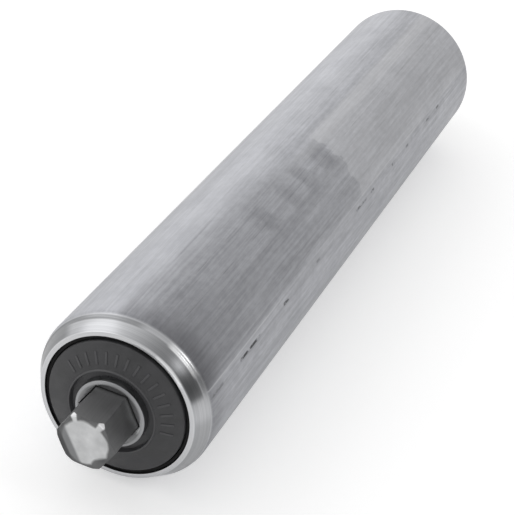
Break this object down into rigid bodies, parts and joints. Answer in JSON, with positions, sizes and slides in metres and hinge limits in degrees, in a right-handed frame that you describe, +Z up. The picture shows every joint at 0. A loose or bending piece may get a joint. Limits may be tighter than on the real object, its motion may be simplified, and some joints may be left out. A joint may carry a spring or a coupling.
{
  "type": "conveyor roller",
  "caption": "Gravity conveyor roller: bare steel tube with curled ends on two sealed ball bearings, carried by a spring-loaded hexagonal axle.",
  "frame": {"origin": "centre of the roller, on its axis midway between the ends of the axle", "axes": "+Y along the roller's axis, from the stop end to the spring end; +X and -X through two corners of the hexagonal axle; +Z up, square to two of its flats"},
  "size_m": [0.0382, 0.2134, 0.038],
  "materials": {
    "bare_steel": "drawn bare steel with lengthwise streaks, smudges and scratches; burnished at the curled ends",
    "bar_steel": "dark cold-drawn bar with bright sheared ends",
    "hub_steel": "satin turned face with a bright bevel",
    "bearing_steel": "fine ground",
    "ball_steel": "polished",
    "zinc_steel": "pressed sheet, dull zinc",
    "spring_steel": "oiled spring steel",
    "grey_polymer": "moulded, slightly grained dark grey",
    "black_polymer": "moulded matte black",
    "cage_polymer": "moulded natural polymer"
  },
  "bodies": {
    "axle": {"hex_axle": "bar_steel", "stop_clip": "spring_steel", "spring_clip": "spring_steel", "spring_washer": "zinc_steel", "axle_spring": "spring_steel"},
    "bearing_cores": {"inner_ring_left": "bearing_steel", "inner_ring_right": "bearing_steel", "hex_hub_left": "hub_steel", "hex_hub_right": "hub_steel", "end_cap_left": "grey_polymer", "end_cap_right": "grey_polymer"},
    "roller": {"roller_tube": "bare_steel", "bearing_housing_left": "black_polymer", "bearing_housing_right": "black_polymer", "outer_ring_left": "bearing_steel", "outer_ring_right": "bearing_steel", "outer_shield_left": "zinc_steel", "outer_shield_right": "zinc_steel", "inner_shield_left": "zinc_steel", "inner_shield_right": "zinc_steel", "seal_ring_left": "black_polymer", "seal_ring_right": "black_polymer"},
    "ball_set_left": {"balls_left": "ball_steel", "cage_left": "cage_polymer"},
    "ball_set_right": {"balls_right": "ball_steel", "cage_right": "cage_polymer"}
  },
  "joints": [
    {"name": "axle_slide", "type": "slide", "parent": "axle", "child": "bearing_cores", "axis": [0, -1, 0], "range_m": [0, 0.013], "stiffness_N_per_m": 600, "springref_m": -0.009, "deforming": ["axle_spring"]},
    {"name": "roller_spin", "type": "hinge", "parent": "bearing_cores", "child": "roller", "pos_m": [0, 0, 0], "axis": [0, 1, 0], "continuous": true},
    {"name": "ball_set_left_spin", "type": "hinge", "parent": "bearing_cores", "child": "ball_set_left", "pos_m": [0, -0.08555, 0], "axis": [0, 1, 0], "continuous": true},
    {"name": "ball_set_right_spin", "type": "hinge", "parent": "bearing_cores", "child": "ball_set_right", "pos_m": [0, 0.08555, 0], "axis": [0, 1, 0], "continuous": true}
  ],
  "couplings": [
    {"joint": "ball_set_left_spin", "follows": "roller_spin", "ratio": 0.6013},
    {"joint": "ball_set_right_spin", "follows": "roller_spin", "ratio": 0.6013}
  ]
}
